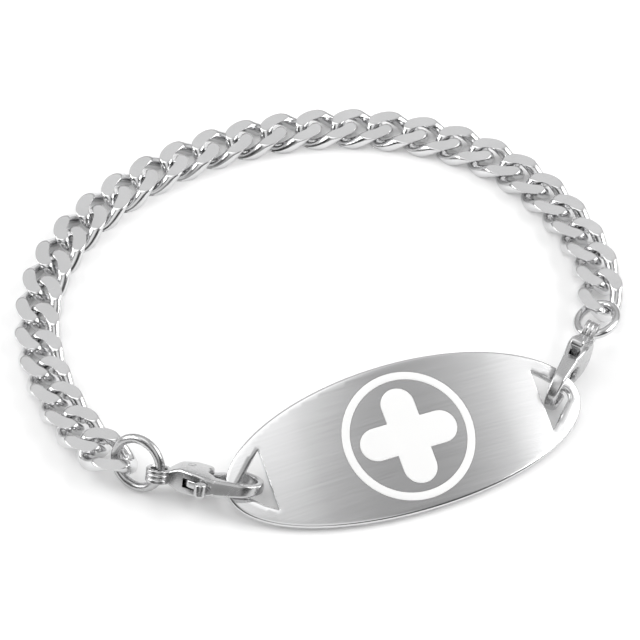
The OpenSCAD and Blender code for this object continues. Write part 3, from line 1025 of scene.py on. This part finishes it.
class BRACELET_OT_chain(bpy.types.Operator):
    """Build the links along the route, and the plain end link"""
    bl_idname = "bracelet.chain"
    bl_label = "Chain"

    def execute(self, context):
        chain = context.scene.bracelet_chain
        material = polished_steel("polished_chain_steel", chain.colour, CHAIN_ROUGHNESS)
        stations, pitch = link_stations()
        points, ways = on_route(stations)
        # Half the length and half the width of a link's middle line
        a = (pitch + chain.wire + 3 * chain.spare) / 2
        b = (chain.width - chain.wire) / 2
        link = link_surface(a, b, LINK_TWIST * chain.wire, chain.wire, chain.thickness)
        for k in range(LINK_COUNT - 1):
            x, y, z = ways[k]
            pose = (points[k], (0, -math.degrees(math.atan2(z, math.hypot(x, y))),
                                math.degrees(math.atan2(y, x))))
            name = "link_%02d" % (k + 1)
            piece = new_piece("curb_" + name, placed(link, pose), material)
            stands_for(piece, name)
        a = (pitch + chain.end_wire + 3 * chain.spare) / 2 + END_LINK_EXTRA
        b = (chain.width - chain.end_wire) / 2
        link = link_surface(a, b, 0, chain.end_wire + FULLER, chain.thickness)
        piece = new_piece("end_link", placed(link, END_LINK_POSE), material)
        stands_for(piece, "link_%02d" % LINK_COUNT)
        return {"FINISHED"}


class BRACELET_OT_jump_ring(bpy.types.Operator):
    """Build the jump ring between the chain and the left clasp"""
    bl_idname = "bracelet.jump_ring"
    bl_label = "Jump ring"

    def execute(self, context):
        chain = context.scene.bracelet_chain
        # Painted shade: the ring's steel is darkened below the chain's colour, for the shaded floor near
        # it that it mirrors
        material = polished_steel("polished_ring_steel_painted_shade", shade_of(chain.colour, RING_PAINTED_SHADE),
                                  FITTING_ROUGHNESS)
        ring = ring_surface(chain.ring_diameter + FULLER, chain.ring_wire + FULLER)
        piece = new_piece("round_ring", placed(ring, RING_POSE), material)
        stands_for(piece, "jump_ring")
        return {"FINISHED"}


class BRACELET_OT_clasps(bpy.types.Operator):
    """Build both lobster clasps: body, lever and pin"""
    bl_idname = "bracelet.clasps"
    bl_label = "Clasps"

    def execute(self, context):
        clasp = context.scene.bracelet_clasp
        # Painted shade: the clasps' steel is darkened below its colour, for the shaded floor near them
        # that they mirror
        material = polished_steel("polished_clasp_steel_painted_shade", shade_of(clasp.colour, CLASP_PAINTED_SHADE),
                                  FITTING_ROUGHNESS)
        for side, pose in CLASP_POSES.items():
            name = "clasp_%s_" % side
            body = new_piece(side + "_clasp", clasp_surface(clasp, pose, material), material,
                             sharp_angle=38)
            stands_for(body, name + "body")
            lever = new_piece(side + "_lever", placed(lever_surface(clasp), pose), material,
                              sharp_angle=50)
            stands_for(lever, name + "lever", side + "_lever")
            pin = new_piece(side + "_pin", placed(pin_surface(clasp), pose), material,
                            sharp_angle=50)
            stands_for(pin, name + "pin")
        return {"FINISHED"}


def soft_light(name, at, towards, size, power):
    """A rectangular lamp that shines from one point towards another."""
    lamp = bpy.data.lights.new(name, "AREA")
    lamp.shape = "RECTANGLE"
    lamp.size, lamp.size_y = size
    lamp.energy = power
    light = bpy.data.objects.new(name, lamp)
    light.location = at
    light.rotation_euler = (Vector(towards) - Vector(at)).to_track_quat("-Z", "Y").to_euler()
    bpy.context.scene.collection.objects.link(light)


# Surroundings: levels from behind the camera (-1) to behind the object (1), their dimming from
# the horizon (0) upwards, and soft round panels. A panel has a way to it from the object, the
# degrees from that way where it starts to fade and is gone, and its level
LEVELS_Y = [(-1.0, 0.07), (-0.4, 0.14), (-0.1, 0.38), (0.0, 0.39), (0.3, 0.6), (0.67, 0.8),
            (0.75, 0.92), (1.0, 0.95)]
DIMMING_Z = [(0.0, 0.3), (0.35, 0.6), (0.65, 1.0)]
PANELS = [
    ((-0.22, 0.12, 0.968), 9, 25.5, 1.3),
    ((0.77, 0.2, 0.6), 8, 33, 0.7),
    ((0.0, -0.64, 0.77), 10, 32, 0.9),
    ((-0.13, -0.96, 0.23), 8, 24, 0.35),
]


def surroundings(strength):
    """Studio surroundings for the steel to mirror: the levels times the dimming, plus each
    panel's level where it is full, fading out smoothly round it."""
    studio = Finish("studio", bpy.data.worlds.new("studio"))
    way = studio.node("ShaderNodeTexCoord")("Generated")
    split = studio.node("ShaderNodeSeparateXYZ", None, {0: way})

    def ramp(value, stops):
        share = studio.spread(value, -1.0, 1.0, 0.0, 1.0)
        colours = [((at + 1) / 2, (level, level, level)) for at, level in stops]
        return studio.node("ShaderNodeValToRGB", {"stops": colours}, {"Fac": share})("Color")

    total = ramp(split("Y"), LEVELS_Y) * ramp(split("Z"), DIMMING_Z)
    for towards, full, none, level in PANELS:
        towards = np.array(towards) / np.linalg.norm(towards)
        shine = studio.node("ShaderNodeMapRange", {"interpolation_type": "SMOOTHSTEP"},
                            {"Value": studio.along(way, towards),
                             "From Min": math.cos(math.radians(none)),
                             "From Max": math.cos(math.radians(full)), "To Max": level})
        total = total + shine("Result")
    studio.set(Color=total, Strength=strength)
    bpy.context.scene.world = studio.owner


class BRACELET_OT_stage(bpy.types.Operator):
    """Build the table, the light and the camera"""
    bl_idname = "bracelet.stage"
    bl_label = "Stage"

    def execute(self, context):
        stage = context.scene.bracelet_stage
        floor = Finish("table_white")
        grain = floor.noise(floor.place(), 60.0, 2.0, 0.5)
        floor.set(Base_Color=floor.between(grain, shade_of(stage.floor, 0.99), stage.floor),
                  Roughness=floor.spread(grain, 0.3, 0.7, 0.55, 0.65), Specular_IOR_Level=0.2,
                  Emission_Color=(1.0, 1.0, 1.0, 1.0), Emission_Strength=0.08)
        corners = np.array([(-1, -1, 0), (1, -1, 0), (1, 1, 0), (-1, 1, 0)]) * TABLE_HALF
        table = new_piece("table", (corners, [(0, 1, 2, 3)]), floor.owner)
        surroundings(stage.sky)
        for height in STRIP_HEIGHTS:
            rise = math.radians(height)
            for side, name in ((-1, "left"), (1, "right")):
                at = (side * STRIP_DISTANCE * math.cos(rise), STRIP_Y, STRIP_DISTANCE * math.sin(rise))
                soft_light("strip_%s_%d" % (name, height), at, (0, 0, 0), STRIP_SIZE, STRIP_POWER)
        camera = bpy.data.cameras.new("camera")
        camera.lens = CAMERA_LENS
        camera.sensor_width = CAMERA_SENSOR
        camera.clip_start = 0.01
        viewer = bpy.data.objects.new("camera", camera)
        rise = math.radians(CAMERA_HEIGHT)
        viewer.location = -MIDDLE + CAMERA_DISTANCE * np.array([0, -math.cos(rise), math.sin(rise)])
        viewer.rotation_euler = (math.radians(90) - rise, 0, 0)
        context.scene.collection.objects.link(viewer)
        context.scene.camera = viewer
        context.scene.view_settings.view_transform = "Standard"
        return {"FINISHED"}


class BRACELET_PT_panel(bpy.types.Panel):
    """Lists the bracelet's operators"""
    bl_label = "Bracelet"
    bl_idname = "BRACELET_PT_panel"
    bl_space_type = "VIEW_3D"
    bl_region_type = "UI"
    bl_category = "Bracelet"

    def draw(self, context):
        for operator in OPERATORS:
            self.layout.operator(operator.bl_idname)


SETTINGS = {
    "bracelet_plate": BRACELET_PG_plate,
    "bracelet_enamel": BRACELET_PG_enamel,
    "bracelet_chain": BRACELET_PG_chain,
    "bracelet_clasp": BRACELET_PG_clasp,
    "bracelet_stage": BRACELET_PG_stage,
}
OPERATORS = (BRACELET_OT_plate, BRACELET_OT_enamel, BRACELET_OT_chain, BRACELET_OT_jump_ring,
             BRACELET_OT_clasps, BRACELET_OT_stage)


def register():
    """Register the settings, the operators and the panel."""
    for name, group in SETTINGS.items():
        bpy.utils.register_class(group)
        setattr(bpy.types.Scene, name, bpy.props.PointerProperty(type=group))
    for cls in (*OPERATORS, BRACELET_PT_panel):
        bpy.utils.register_class(cls)


def unregister():
    """Take the panel, the operators and the settings away again."""
    for cls in (BRACELET_PT_panel, *reversed(OPERATORS)):
        bpy.utils.unregister_class(cls)
    for name, group in reversed(SETTINGS.items()):
        delattr(bpy.types.Scene, name)
        bpy.utils.unregister_class(group)


def main():
    """Build the bracelet and its stage."""
    register()
    bpy.ops.bracelet.plate()
    bpy.ops.bracelet.enamel()
    bpy.ops.bracelet.chain()
    bpy.ops.bracelet.jump_ring()
    bpy.ops.bracelet.clasps()
    bpy.ops.bracelet.stage()


if __name__ == "__main__":
    main()
